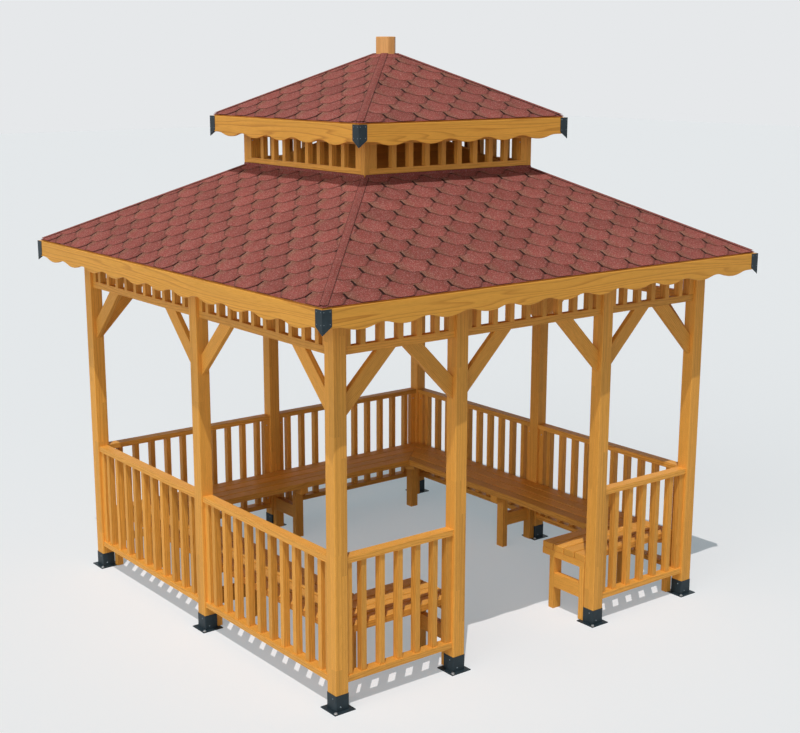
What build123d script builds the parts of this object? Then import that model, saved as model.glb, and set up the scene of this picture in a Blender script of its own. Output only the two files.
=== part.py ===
"""Garden gazebo: square plan, nine posts, railings, benches inside, two-tier hipped roof with a lantern.

Frame: origin mid-plan on the ground; +X right, +Y back, +Z up, entrance on -Y; millimetres.
Every side is drawn as the front side (along X at y = -half_span) and turned about Z into its place.
"""
from build123d import *
from math import sqrt
import os

# ---------------------------------------------------------------- plan and posts
post_span = 3000          # between the centres of the corner posts, both ways
entrance_span = 1224      # between the centres of the two entrance posts
post_size = 90            # square section of every post
post_top = 2360           # where the ring beams start
edge_ease = 3             # bevel on the long edges of the posts

# ---------------------------------------------------------------- post shoes (steel)
plate_margin = 26.5       # ledge of the base plate round the sleeve
plate_thickness = 6
anchor_hole = 16          # two on one diagonal of the plate
anchor_inset = 16         # hole centre from the plate's edges
sleeve_wall = 2.5
sleeve_height = 99        # above the plate

# ---------------------------------------------------------------- bars, railings, friezes
bar_width = 36            # across the bar, along the panel
bar_depth = 45
bar_pitch = 134
bar_end_gap = 20          # least gap between the last bar and the end stile
stile_width = 45
railing_bottom = 165
railing_top = 935
railing_rail = 37         # height of the railing's two rails
railing_depth = 70
frieze_height = 243       # hangs down from the ring beam
frieze_rail = 46
frieze_depth = 45

# ---------------------------------------------------------------- knee braces
brace_reach = 372         # along the frieze and down the post, to the brace's lower edge
brace_width = 95
brace_depth = 36          # flush with the inner face of the frieze

# ---------------------------------------------------------------- benches
seat_top = 466
slat_count = 4
slat_width = 94
slat_thickness = 45
slat_gap = 8
mitre_gap = 2
seat_clearance = 5        # between the outer slat and the posts
foot_clearance = 1        # between the rear legs and the shoes' sleeves
bearer_height = 45
leg_along = 70            # leg section along the bench
leg_across = 45
leg_setback = 72          # front leg behind the seat's inner edge
leg_rail_bottom = 160
leg_rail_height = 100
corner_leg = 66
corner_leg_setback = 130
corner_bearer_width = 70

# ---------------------------------------------------------------- roof timbers, both tiers
roof_rise = 0.508         # rise of every slope per unit of run
roof_slab = 26            # boards and shingles together, measured upright
ring_beam_height = 110
rafter_width = 45
rafter_depth = 78         # measured upright
rafter_spacing = 530
rafter_notch = 12         # depth of the seat cut over a ring beam's outer arris
hip_depth = 98            # measured upright; cut level with the rafter tails at the eave
eave_overhang = 283       # from the post centres to the outside of the corner brackets

# ---------------------------------------------------------------- lantern and hub
lantern_half = 700        # half width of the lantern
curb_thickness = 45
curb_height = 125
lantern_height = 240      # from the curb to the lantern's own ring beam
lantern_post = 94         # corner posts above the friezes' lower rails
lantern_foot = 40         # what stands on the curb below them
lantern_depth = 36        # of the friezes' rails, stiles and bars
lantern_rail = 34
lantern_rail_gap = 24     # under the lower rail
lantern_end_gap = 60      # least gap between the last bar and the end stile
lantern_ring_height = 92
ceiling_thickness = 18    # boards inside the curb, in line with the rafters' tops
upper_overhang = 168
hub_flats = 126           # across the flats of the eight-sided hub
hub_rise = 86             # above the meeting point of the slopes
hub_drop = 211            # below it
apex_parting = 1          # keeps the four slopes and caps apart at the very top

# ---------------------------------------------------------------- fascias, brackets, hip caps
fascia_thickness = 20
fascia_height = 106       # to the valleys of the wave
scallop_pitch = 306
scallop_depth = 25
scallop_share = 0.62      # part of the pitch taken by the hanging lobe
bracket_sheet = 2
bracket_leg = 62
bracket_side = 94
bracket_tip = 138
cap_half_width = 25       # of the folded strip over each hip, in plan
cap_thickness = 5

# ---------------------------------------------------------------- derived
SIDES = {"front": 0, "right": 90, "back": 180, "left": -90}
over = 20                                                # extra length of a tool or a blank before its cut

half_span = post_span / 2
half_entrance = entrance_span / 2
half_post = post_size / 2
inner_face = half_span - half_post                       # of the corner posts
outer_face = half_span + half_post
sleeve_top = plate_thickness + sleeve_height
frieze_bottom = post_top - frieze_height
ring_top = post_top + ring_beam_height

seat_outer = inner_face - seat_clearance
seat_inner = seat_outer - slat_count * slat_width - (slat_count - 1) * slat_gap
seat_bottom = seat_top - slat_thickness
bearer_bottom = seat_bottom - bearer_height
rear_leg_outer = inner_face - sleeve_wall - foot_clearance   # rear legs stand on the shoes' plates

rafter_seat = roof_slab + rafter_depth - rafter_notch    # from a ring beam's arris up to the roof surface
eave_half = half_span + eave_overhang
eave_top = ring_top + rafter_seat - roof_rise * (eave_half - outer_face)
curb_inner = lantern_half - curb_thickness
curb_top = eave_top + roof_rise * (eave_half - lantern_half)
lantern_rail_bottom = curb_top + lantern_rail_gap
upper_ring_bottom = curb_top + lantern_height
upper_ring_top = upper_ring_bottom + lantern_ring_height
upper_eave_half = lantern_half + upper_overhang
upper_eave_top = upper_ring_top + rafter_seat - roof_rise * upper_overhang
apex = upper_eave_top + roof_rise * upper_eave_half
roof_top = apex + hub_rise

fascia_outer = eave_half - bracket_sheet
fascia_inner = fascia_outer - fascia_thickness
upper_fascia_outer = upper_eave_half - bracket_sheet
upper_fascia_inner = upper_fascia_outer - fascia_thickness


def lower_roof(r):
    """Height of the lower roof's surface at the plan distance r from the middle."""
    return eave_top + roof_rise * (eave_half - r)


def upper_roof(r):
    """Height of the upper roof's surface at the plan distance r from the middle."""
    return upper_eave_top + roof_rise * (upper_eave_half - r)


# ---------------------------------------------------------------- drawing helpers
def block(x0, x1, y0, y1, z0, z1):
    """Box from its limits."""
    return Pos((x0 + x1) / 2, (y0 + y1) / 2, (z0 + z1) / 2) * Box(x1 - x0, y1 - y0, z1 - z0)


def column(half, z0, z1):
    """Square upright box about the origin."""
    return block(-half, half, -half, half, z0, z1)


def plan_prism(points, z0, z1):
    """Upright prism over a plan outline."""
    return Pos(0, 0, z0) * extrude(Polygon(*points, align=None), amount=z1 - z0, dir=(0, 0, 1))


def across(points, thickness, y=0):
    """Outline in X and Z, given a thickness centred on y."""
    return Pos(0, y, 0) * extrude(Plane.XZ * Polygon(*points, align=None), amount=thickness / 2, both=True)


def along(points, width):
    """Outline in Y and Z, given a width centred on X = 0."""
    return extrude(Plane.YZ * Polygon(*points, align=None), amount=width / 2, both=True)


def mitred(shape, r_eave, r_inner):
    """Keeps the part of a piece inside the front quarter of the plan, between two distances."""
    quarter = plan_prism([(-r_eave, -r_eave), (r_eave, -r_eave), (r_inner, -r_inner), (-r_inner, -r_inner)],
                         0, roof_top)
    return shape & quarter


def joined(pieces):
    """One solid from touching pieces."""
    return pieces[0] + list(pieces[1:])


def turned(side, shape):
    """Carries a shape drawn at the front to another side."""
    return Rot(0, 0, SIDES[side]) * shape


def save(name, solids):
    """Writes one node."""
    shape = solids[0] if len(solids) == 1 else Compound(children=list(solids))
    export_step(shape, "parts/" + name + ".step")


# ---------------------------------------------------------------- posts and shoes
def post():
    """Post with bevelled long edges, standing in its shoe on the plate."""
    return chamfer(column(half_post, plate_thickness, post_top).edges().filter_by(Axis.Z), edge_ease)


def shoe():
    """Base plate with two anchor holes on a diagonal and a square sleeve round the post's foot."""
    sleeve_half = half_post + sleeve_wall
    plate_half = sleeve_half + plate_margin
    plate = column(plate_half, 0, plate_thickness)
    for way in (-1, 1):
        spot = way * (plate_half - anchor_inset)
        plate -= Pos(spot, spot, plate_thickness / 2) * Cylinder(anchor_hole / 2, 2 * plate_thickness)
    sleeve = chamfer(column(sleeve_half, plate_thickness, sleeve_top).edges().filter_by(Axis.Z),
                     edge_ease + sleeve_wall * (2 - sqrt(2)))
    return plate + (sleeve - post())


corners = [(i * half_span, j * half_span) for i in (-1, 1) for j in (-1, 1)]
middles = [(-half_span, 0), (half_span, 0), (0, half_span)]
entrances = [(-half_entrance, -half_span), (half_entrance, -half_span)]


# ---------------------------------------------------------------- framed panels of bars
def panel(x0, x1, y, z0, z1, rail, rail_depth, stile, depth, end_gap):
    """Two rails, two end stiles and as many bars at the common pitch as fit, centred between x0 and x1."""
    near, far = y - depth / 2, y + depth / 2
    low, high = z0 + rail, z1 - rail
    pieces = [block(x0, x1, y - rail_depth / 2, y + rail_depth / 2, z, z + rail) for z in (z0, high)]
    pieces += [block(x, x + stile, near, far, low, high) for x in (x0, x1 - stile)]
    room = x1 - x0 - 2 * stile - 2 * end_gap - bar_width
    gaps = int(room // bar_pitch)
    first = (x0 + x1 - gaps * bar_pitch - bar_width) / 2
    for x in (first + i * bar_pitch for i in range(gaps + 1)):
        pieces.append(block(x, x + bar_width, near, far, low, high))
    return joined(pieces)


def bays(side):
    """Clear openings between the posts of a side, in the front's own X."""
    inner = [-half_entrance, half_entrance] if side == "front" else [0]
    centres = [-half_span, *inner, half_span]
    return [(a + half_post, b - half_post) for a, b in zip(centres, centres[1:])]


def railing(x0, x1):
    return panel(x0, x1, -half_span, railing_bottom, railing_top, railing_rail, railing_depth,
                 stile_width, bar_depth, bar_end_gap)


def frieze(x0, x1):
    return panel(x0, x1, -half_span, frieze_bottom, post_top, frieze_rail, frieze_depth,
                 stile_width, bar_depth, bar_end_gap)


def braces(x0, x1):
    """The pair of knee braces of one bay, at 45 degrees between the posts and the frieze."""
    start = brace_reach - brace_width * sqrt(2)
    middle = -half_span + (frieze_depth - brace_depth) / 2
    return [across([(x, frieze_bottom - brace_reach), (x + way * brace_reach, frieze_bottom),
                    (x + way * start, frieze_bottom), (x, frieze_bottom - start)], brace_depth, middle)
            for x, way in ((x0, 1), (x1, -1))]


# ---------------------------------------------------------------- benches
def seat(x0=None):
    """The slats of one run, mitred at both ends, or cut square at x0."""
    trim = mitre_gap / 2 * sqrt(2)
    slats = []
    for i in range(slat_count):
        near = seat_inner + i * (slat_width + slat_gap)
        far = near + slat_width
        left = [(-near + trim, -near), (-far + trim, -far)] if x0 is None else [(x0, -near), (x0, -far)]
        slats.append(plan_prism(left + [(far - trim, -far), (near - trim, -near)], seat_bottom, seat_top))
    return slats


def leg_frame(x, way):
    """Two legs, a bearer under the slats and a low rail, across the bench at x, the rail on its way side."""
    x0, x1 = x - leg_along / 2, x + leg_along / 2
    front = seat_inner + leg_setback
    rail_x = sorted((x + way * leg_along / 2, x + way * (leg_along / 2 - leg_across)))
    return joined([
        block(x0, x1, -rear_leg_outer, -seat_inner, bearer_bottom, seat_bottom),
        block(x0, x1, -front - leg_across, -front, 0, bearer_bottom),
        block(x0, x1, -rear_leg_outer, -rear_leg_outer + leg_across, plate_thickness, bearer_bottom),
        block(*rail_x, -rear_leg_outer + leg_across, -front - leg_across,
              leg_rail_bottom, leg_rail_bottom + leg_rail_height),
    ])


def corner_frame():
    """Bearer along the mitre with an inner and an outer leg, at the front right corner."""
    reach = corner_bearer_width / 2 * sqrt(2)
    bearer = plan_prism([(seat_inner, -seat_inner - reach), (seat_inner + reach, -seat_inner),
                         (rear_leg_outer, -rear_leg_outer + reach), (rear_leg_outer, -rear_leg_outer),
                         (rear_leg_outer - reach, -rear_leg_outer)],
                        bearer_bottom, seat_bottom)
    inner = seat_inner + corner_leg_setback
    outer = rear_leg_outer - leg_across
    return joined([
        bearer,
        block(inner, inner + corner_leg, -inner - corner_leg, -inner, 0, bearer_bottom),
        block(outer, rear_leg_outer, -rear_leg_outer, -outer, plate_thickness, bearer_bottom),
    ])


# ---------------------------------------------------------------- ring beams and the lantern's square frames
side_beam = block(-outer_face, -inner_face, -outer_face, outer_face, post_top, ring_top)
cross_beam = block(-inner_face, inner_face, -outer_face, -inner_face, post_top, ring_top)
side_beams = [side_beam, Rot(0, 0, 180) * side_beam]
cross_beams = [cross_beam, Rot(0, 0, 180) * cross_beam]


def square_frame(z0, z1):
    """Square frame with the lantern's outline."""
    return column(lantern_half, z0, z1) - column(curb_inner, z0 - over, z1 + over)


curb = square_frame(curb_top - curb_height, curb_top)
lantern_ring = square_frame(upper_ring_bottom, upper_ring_top)
octagon = Rot(0, 0, 22.5) * RegularPolygon(hub_flats / 2, 8, major_radius=False)
hub = Pos(0, 0, apex - hub_drop) * extrude(octagon, amount=hub_drop + hub_rise)


# ---------------------------------------------------------------- roof slopes and rafters
def slab(roof, r_eave, r_top, bottom=-roof_slab, top=0):
    """Layer of the front slope between two plan distances and two offsets from its surface."""
    outline = [(-r_eave, roof(r_eave) + bottom), (-r_eave, roof(r_eave) + top),
               (-r_top, roof(r_top) + top), (-r_top, roof(r_top) + bottom)]
    return mitred(along(outline, 2 * r_eave), r_eave, r_top)


def rafter(roof, r_tail, r_head):
    """Common rafter under the front slope, on the middle line."""
    top, bottom = -roof_slab, -roof_slab - rafter_depth
    return along([(-r_tail, roof(r_tail) + top), (-r_head, roof(r_head) + top),
                  (-r_head, roof(r_head) + bottom), (-r_tail, roof(r_tail) + bottom)], rafter_width)


def between_hips(shape):
    """Keeps the part of a front rafter that clears the hip rafters."""
    side = rafter_width / 2 * sqrt(2)
    wedge = [(0, -side), (eave_half - side, -eave_half), (side - eave_half, -eave_half)]
    return shape & plan_prism(wedge, 0, roof_top)


def hip(roof, r_tail, r_head):
    """Blank of the front right hip rafter, over-long, its tail cut level with the commons' tails."""
    level = roof(r_tail) - roof_slab - rafter_depth
    r_bend = r_tail - (hip_depth - rafter_depth) / roof_rise
    r_tail, r_head = r_tail + over, r_head - over
    outline = [(r_tail, level), (r_bend, level), (r_head, roof(r_head) - roof_slab - hip_depth),
               (r_head, roof(r_head) - roof_slab), (r_tail, roof(r_tail) - roof_slab)]
    return Rot(0, 0, -45) * across([(r * sqrt(2), z) for r, z in outline], rafter_width)


lower_slope = slab(lower_roof, fascia_inner, lantern_half)
upper_slope = slab(upper_roof, upper_fascia_inner, apex_parting) - hub
ceiling = slab(lower_roof, curb_inner, apex_parting, -roof_slab - ceiling_thickness, -roof_slab)

lower_hip = hip(lower_roof, fascia_inner, lantern_half) & column(fascia_inner, 0, roof_top)
lower_hip -= column(lantern_half, 0, curb_top)
for piece in side_beams + cross_beams + [lower_slope, turned("right", lower_slope)]:
    lower_hip -= piece
upper_hip = hip(upper_roof, upper_fascia_inner, over) & column(upper_fascia_inner, 0, roof_top)
for piece in (lantern_ring, hub, upper_slope, turned("right", upper_slope)):
    upper_hip -= piece

commons = []
lines = int(inner_face // rafter_spacing)
for x in (i * rafter_spacing for i in range(-lines, lines + 1)):
    meets_curb = abs(x) + rafter_width / 2 < lantern_half
    head = lantern_half if meets_curb else abs(x) - rafter_width       # the others die into a hip rafter
    timber = between_hips(Pos(x, 0, 0) * rafter(lower_roof, fascia_inner, head) - cross_beam)
    commons += [turned(side, timber) for side in SIDES]
upper_common = between_hips(rafter(upper_roof, upper_fascia_inner, apex_parting) - hub - lantern_ring)
commons += [turned(side, upper_common) for side in SIDES]


# ---------------------------------------------------------------- fascias, brackets, hip caps
hip_plane = Plane(origin=(0, 0, 0), x_dir=(0, 0, 1), z_dir=(1, 1, 0))   # upright, along a hip


def fascia(outer, top):
    """Front fascia board, mitred at both ends, with a row of hanging lobes along its lower edge."""
    inner = outer - fascia_thickness
    valley = top - fascia_height
    lobe = scallop_pitch * scallop_share
    dip = scallop_pitch - lobe
    shoulder = valley - scallop_depth * (1 - scallop_share)    # where a lobe's arc meets the hollow's
    count = int((2 * outer - 2 * bracket_leg) // scallop_pitch)
    start = count * scallop_pitch / 2
    edges = [Line((-outer, top), (outer, top)), Line((outer, top), (outer, valley)),
             Line((outer, valley), (start, valley))]
    for x in (start - i * scallop_pitch for i in range(count)):
        falling, rising, end = x - dip / 2, x - dip / 2 - lobe, x - scallop_pitch
        edges += [TangentArc((x, valley), (falling, shoulder), tangent=(-1, 0)),
                  ThreePointArc((falling, shoulder), ((falling + rising) / 2, valley - scallop_depth),
                                (rising, shoulder)),
                  TangentArc((end, valley), (rising, shoulder), tangent=(1, 0))]
    edges += [Line((-start, valley), (-outer, valley)), Line((-outer, valley), (-outer, top))]
    board = extrude(Plane.XZ * make_face(edges), amount=fascia_thickness, dir=(0, -1, 0))
    return mitred(Pos(0, -inner, 0) * board, outer, inner)


def bracket(outer, top):
    """Folded corner plate of the front right corner, pointed at the fold."""
    outline = [(outer, top), (outer - bracket_leg, top), (outer - bracket_leg, top - bracket_side),
               (outer, top - bracket_tip)]
    leg = across(outline, bracket_sheet, -outer - bracket_sheet / 2)
    fold = block(outer, outer + bracket_sheet, -outer - bracket_sheet, -outer, top - bracket_tip, top)
    return leg + mirror(leg, about=hip_plane) + fold


def cap(roof, r_eave, r_top):
    """Strip folded over the front right hip."""
    layer = slab(roof, r_eave, r_top, 0, cap_thickness)
    strip = Rot(0, 0, -45) * block(0, 2 * r_eave, -cap_half_width, cap_half_width, 0, roof_top)
    quarter = block(apex_parting, r_eave, -r_eave, -apex_parting, 0, roof_top)
    return (layer + turned("right", layer)) & strip & quarter


# ---------------------------------------------------------------- lantern
def lantern_frieze():
    """Front frieze of the lantern, between the feet of two corner posts."""
    inner = lantern_half - lantern_foot
    return panel(-inner, inner, -lantern_half + lantern_depth / 2, lantern_rail_bottom, upper_ring_bottom,
                 lantern_rail, lantern_depth, lantern_post - lantern_foot, lantern_depth, lantern_end_gap)


def lantern_corner():
    """Front right corner post, rebated for the friezes' end stiles and cut back to a foot on the curb."""
    rebate = lantern_half - lantern_depth
    foot, inside = lantern_half - lantern_foot, lantern_half - lantern_post
    return joined([
        block(foot, lantern_half, -lantern_half, -foot, curb_top, upper_ring_bottom),
        block(inside, rebate, -rebate, -inside, lantern_rail_bottom + lantern_rail, upper_ring_bottom),
    ])


# ---------------------------------------------------------------- the nodes
os.makedirs("parts", exist_ok=True)
quarters = [Rot(0, 0, 90 * i) for i in range(4)]
opposite = {"front_back": ("front", "back"), "sides": ("left", "right")}

save("post_shoes", [Pos(x, y, 0) * shoe() for x, y in corners + middles + entrances])
for name, places in (("corner_posts", corners), ("side_posts", middles), ("entrance_posts", entrances)):
    save(name, [Pos(x, y, 0) * post() for x, y in places])

front_left, entrance, front_right = bays("front")
save("railing_front_left", [railing(*front_left)])
save("railing_front_right", [railing(*front_right)])
bay_ends = {"left": ("back", "front"), "right": ("front", "back"), "back": ("right", "left")}
for side, ends in bay_ends.items():
    for bay, end in zip(bays(side), ends):
        save("railing_" + side + "_" + end, [turned(side, railing(*bay))])
for side in SIDES:
    save("friezes_" + side, [turned(side, frieze(*bay)) for bay in bays(side)])
    save("braces_" + side, [turned(side, brace) for bay in bays(side) for brace in braces(*bay)])

run_start = half_entrance - half_post
short_run = seat(run_start)
save("bench_seat_front_right", short_run)
save("bench_seat_front_left", [mirror(slat, about=Plane.YZ) for slat in short_run])
for side in bay_ends:
    save("bench_seat_" + side, [turned(side, slat) for slat in seat()])
end_frame = leg_frame(run_start + leg_along / 2, -1)
save("bench_leg_frames",
     [end_frame, mirror(end_frame, about=Plane.YZ)] + [turned(side, leg_frame(0, 1)) for side in bay_ends])
save("bench_corner_frames", [q * corner_frame() for q in quarters])

save("ring_beams_sides", side_beams)
save("ring_beams_front_back", cross_beams)
save("hip_rafters", [q * timber for q in quarters for timber in (lower_hip, upper_hip)])
save("common_rafters", commons)
boards = [fascia(fascia_outer, eave_top), fascia(upper_fascia_outer, upper_eave_top)]
for name, pair in opposite.items():
    save("lower_roof_slopes_" + name, [turned(side, lower_slope) for side in pair])
    save("upper_roof_slopes_" + name, [turned(side, upper_slope) for side in pair])
    save("fascias_" + name, [turned(side, board) for side in pair for board in boards])
caps = [cap(lower_roof, fascia_inner, lantern_half),
        cap(upper_roof, upper_fascia_inner, apex_parting) - hub]
save("hip_caps", [q * strip for q in quarters for strip in caps])
plates = [bracket(fascia_outer, eave_top), bracket(upper_fascia_outer, upper_eave_top)]
save("fascia_corner_brackets", [q * plate for q in quarters for plate in plates])
save("lantern_curb", [curb])
save("lantern_ceiling", [turned(side, ceiling) for side in SIDES])
save("lantern_posts", [q * lantern_corner() for q in quarters])
save("lantern_friezes", [turned(side, lantern_frieze()) for side in SIDES])
save("lantern_ring", [lantern_ring])
save("roof_hub", [hub])
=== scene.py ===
"""Dresses the garden gazebo in stained softwood, hexagonal bitumen shingles and coated steel, in metres."""
from __future__ import annotations

import logging
import math
import random
from dataclasses import dataclass, field
from enum import Enum
from functools import partial
from typing import Callable, Sequence

import bmesh
import bpy
from bmesh.types import BMEdge, BMesh, BMVert
from bpy.types import Material, Mesh, Node, NodeOutputs, NodeSocket, NodeTree, Object
from mathutils import Matrix, Vector

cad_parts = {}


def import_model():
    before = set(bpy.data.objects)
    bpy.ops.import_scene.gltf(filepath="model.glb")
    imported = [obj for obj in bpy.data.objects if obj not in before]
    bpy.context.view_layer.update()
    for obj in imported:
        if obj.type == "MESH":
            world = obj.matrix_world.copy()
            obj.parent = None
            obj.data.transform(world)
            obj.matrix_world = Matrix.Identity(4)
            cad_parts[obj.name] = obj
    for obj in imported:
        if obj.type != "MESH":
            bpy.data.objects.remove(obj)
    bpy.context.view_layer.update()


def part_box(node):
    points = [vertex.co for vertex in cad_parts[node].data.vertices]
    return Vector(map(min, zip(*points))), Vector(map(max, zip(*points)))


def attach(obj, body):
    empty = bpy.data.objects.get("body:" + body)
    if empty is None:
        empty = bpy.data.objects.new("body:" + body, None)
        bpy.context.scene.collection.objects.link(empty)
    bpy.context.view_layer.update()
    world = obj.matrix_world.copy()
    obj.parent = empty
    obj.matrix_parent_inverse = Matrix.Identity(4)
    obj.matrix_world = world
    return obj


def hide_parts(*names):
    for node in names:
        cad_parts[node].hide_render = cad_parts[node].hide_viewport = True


log = logging.getLogger("gazebo")
Point = tuple[float, float]
Triple = tuple[float, float, float]
Spot = tuple[Vector, Vector]              # a place and the outward direction there
Adder = Callable[..., Node]               # add_node for one tree
MERGE = 1e-6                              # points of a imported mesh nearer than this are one
FLAT = 0.4                                # degrees: faces that meet flatter than this are one
NOISE = (0.3, 0.7)                        # nearly all of a noise's values lie between these


# ---------------------------------------------------------------- small helpers
def srgb(code: str) -> tuple[float, float, float, float]:
    """Linear colour of a hex code such as 'd9a35c'."""
    parts = [int(code[i:i + 2], 16) / 255 for i in (0, 2, 4)]
    return (*(p / 12.92 if p <= 0.04045 else ((p + 0.055) / 1.055) ** 2.4 for p in parts), 1.0)


def add_node(tree: NodeTree, kind: str, inputs: Sequence | dict = (), ramp: Sequence[Point] = (),
             **settings: str | bool) -> Node:
    """Adds one node to a shader or geometry tree.

    Args:
        tree: the node tree.
        kind: the node's type, such as 'ShaderNodeMath'.
        inputs: what goes into its sockets, in their order or by name: a value, or the socket or node that
            feeds it, where a node stands for its first output in use.
        ramp: places and grey levels of a colour ramp.
        settings: the node's own properties.

    Returns:
        The new node.
    """
    node = tree.nodes.new(kind)
    for key, value in settings.items():
        setattr(node, key, value)
    if ramp:
        stops = node.color_ramp.elements
        while len(stops) < len(ramp):
            stops.new(0.5)
        for stop, (place, level) in zip(stops, ramp):
            stop.position, stop.color = place, (level, level, level, 1.0)
    if isinstance(inputs, dict):
        pairs = [(node.inputs[key], value) for key, value in inputs.items()]
    else:
        pairs = list(zip([s for s in node.inputs if s.enabled], inputs))
    for socket, value in pairs:
        if isinstance(value, Node):
            value = next(s for s in value.outputs if s.enabled)
        if isinstance(value, NodeSocket):
            tree.links.new(value, socket)
        else:
            socket.default_value = value
    return node


def start_tree(name: str, sizes: dict[str, str]) -> tuple[NodeTree, Adder, NodeOutputs]:
    """Starts a geometry tree with named inputs.

    Args:
        name: the tree's name.
        sizes: names of its inputs between the mesh and the finish, each with the last word of its type.

    Returns:
        The tree, what adds its nodes, and its inputs by name.
    """
    tree = bpy.data.node_groups.new(name, "GeometryNodeTree")
    for label, kind in {"Geometry": "Geometry", **sizes, "Finish": "Material"}.items():
        tree.interface.new_socket(name=label, in_out="INPUT", socket_type="NodeSocket" + kind)
    tree.interface.new_socket(name="Geometry", in_out="OUTPUT", socket_type="NodeSocketGeometry")
    add = partial(add_node, tree)
    return tree, add, add("NodeGroupInput").outputs


def end_tree(add: Adder, shapes: Node, finish: NodeSocket) -> None:
    """Ends a geometry tree in real meshes that wear their finish.

    Args:
        add: adds a node to the tree.
        shapes: the instances.
        finish: the tree's input for it.
    """
    real = add("GeometryNodeRealizeInstances", [shapes])
    dressed = add("GeometryNodeSetMaterial", {"Geometry": real, "Material": finish})
    add("NodeGroupOutput", [dressed])


def run_tree(carrier: Object, tree: NodeTree, values: dict) -> Mesh:
    """Runs a node tree on a carrier object, which is removed.

    Args:
        carrier: new object whose mesh goes into the tree.
        tree: geometry tree with named inputs.
        values: input values by name.

    Returns:
        The evaluated plain mesh.
    """
    bpy.context.scene.collection.objects.link(carrier)
    modifier = carrier.modifiers.new("nodes", "NODES")
    modifier.node_group = tree
    for socket in tree.interface.items_tree:
        if socket.in_out == "INPUT" and socket.name in values:
            modifier[socket.identifier] = values[socket.name]
    graph = bpy.context.evaluated_depsgraph_get()
    graph.update()
    mesh = bpy.data.meshes.new_from_object(carrier.evaluated_get(graph), preserve_all_data_layers=True,
                                           depsgraph=graph)
    carrier.modifiers.clear()
    bpy.data.objects.remove(carrier)
    return mesh


def turn(degrees: float) -> Matrix:
    """Rotation about the gazebo's upright axis."""
    return Matrix.Rotation(math.radians(degrees), 4, "Z")


def frame_of(x_axis: Sequence[float], y_axis: Sequence[float], origin: Sequence[float]) -> Matrix:
    """Placing matrix of a right-handed frame.

    Args:
        x_axis: first axis.
        y_axis: second axis, square to the first.
        origin: where the frame stands.

    Returns:
        The matrix that carries the frame's own coordinates to the gazebo.
    """
    x, y = Vector(x_axis).normalized(), Vector(y_axis).normalized()
    z = x.cross(y)
    return Matrix([(x[i], y[i], z[i], origin[i]) for i in range(3)] + [(0, 0, 0, 1)])


class Side(Enum):
    """The four sides, by the turn that carries the front side to each."""

    FRONT = 0
    RIGHT = 90
    BACK = 180
    LEFT = -90

    @property
    def matrix(self) -> Matrix:
        """Turn of the front side's pieces to this side."""
        return turn(self.value)

    def spot(self, place: Sequence[float], way: Sequence[float]) -> Spot:
        """Carries a place and a direction from the front side to this one."""
        return self.matrix @ Vector(place), self.matrix.to_3x3() @ Vector(way)


# ---------------------------------------------------------------- sizes read from the frame
@dataclass(frozen=True)
class Plan:
    """Sizes that the pieces share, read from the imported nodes."""

    outer: float                          # the corner posts' outer faces, from the middle
    post: float                           # width of a post
    entrance_outer: float                 # the entrance posts' outer faces
    lantern: float                        # half the lantern's width
    eave: float                           # the lower shingles' edge, and the upper ones'
    upper_eave: float
    eave_half: float                      # outer faces of the fascia corners, lower and upper
    upper_eave_half: float
    slab: float = 0.026                   # thickness of a roof slope, shingles and boards
    fascia: float = 0.022                 # thickness of a fascia with its corner's steel

    @classmethod
    def read(cls) -> "Plan":
        """Measures the posts, the lantern and both roofs.

        Returns:
            The shared sizes.
        """
        posts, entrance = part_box("corner_posts"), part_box("entrance_posts")
        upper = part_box("upper_roof_slopes_sides")[1].x
        return cls(outer=posts[1].x, post=entrance[1].y - entrance[0].y, entrance_outer=entrance[1].x,
                   lantern=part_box("lantern_curb")[1].x, eave=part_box("lower_roof_slopes_sides")[1].x,
                   upper_eave=upper, eave_half=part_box("fascia_corner_brackets")[1].x,
                   upper_eave_half=upper + cls.fascia)

    @property
    def middle(self) -> float:
        """Distance from the middle to the post centres."""
        return self.outer - self.post / 2

    @property
    def rise(self) -> float:
        """Rise of every slope per unit of run."""
        low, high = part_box("lower_roof_slopes_sides")
        return (high.z - low.z - self.slab) / (self.eave - self.lantern)

    def bays(self, side: Side) -> list[Point]:
        """Clear openings between the posts of a side.

        Args:
            side: the side of the gazebo.

        Returns:
            Both ends of every opening, in the front side's own X.
        """
        half = self.post / 2
        inner = [half - self.entrance_outer, self.entrance_outer - half] if side is Side.FRONT else [0.0]
        centres = [-self.middle, *inner, self.middle]
        return [(a + half, b - half) for a, b in zip(centres, centres[1:])]


# ---------------------------------------------------------------- finishes
class Finish:
    """Base of all finishes: builds its material once and hands it out.

    A finish has a name and, for some, the name of a material slot in the record.
    """

    def material(self) -> Material:
        """Hands out the finish's material, built on first use.

        Returns:
            The material.
        """
        found = bpy.data.materials.get(self.name)
        if found is None:
            found = bpy.data.materials.new(self.name)
            found.use_nodes = True
            found.node_tree.nodes.clear()
            add = partial(add_node, found.node_tree)
            add("ShaderNodeOutputMaterial", [self.build(add)])
        return found

    def build(self, add: Adder) -> Node:
        """Adds the finish's nodes and returns its shader."""
        raise NotImplementedError


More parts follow.
